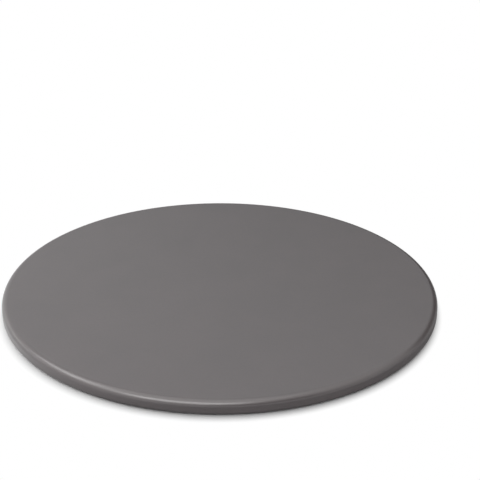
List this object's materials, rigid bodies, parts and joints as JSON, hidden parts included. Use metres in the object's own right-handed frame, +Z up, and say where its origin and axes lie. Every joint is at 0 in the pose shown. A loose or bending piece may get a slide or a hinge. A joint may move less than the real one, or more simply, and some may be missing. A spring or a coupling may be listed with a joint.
{
  "type": "pizza stone",
  "caption": "Round glazed cordierite pizza stone with a rounded rim and a bare foot ring, for baking on a grill or in an oven.",
  "frame": {"origin": "centre of the stone on the surface that it stands on, in the plane of the foot ring's standing face", "axes": "+Z is up, square to the baking face, along the axis that the stone is round about; X and Y are alike because the stone is round"},
  "size_m": [0.3599, 0.36, 0.0125],
  "materials": {
    "bare_cordierite": "matte",
    "grey_glaze": "satin"
  },
  "bodies": {
    "root": {"stone_body": "bare_cordierite", "glaze_coat": "grey_glaze"}
  },
  "joints": []
}
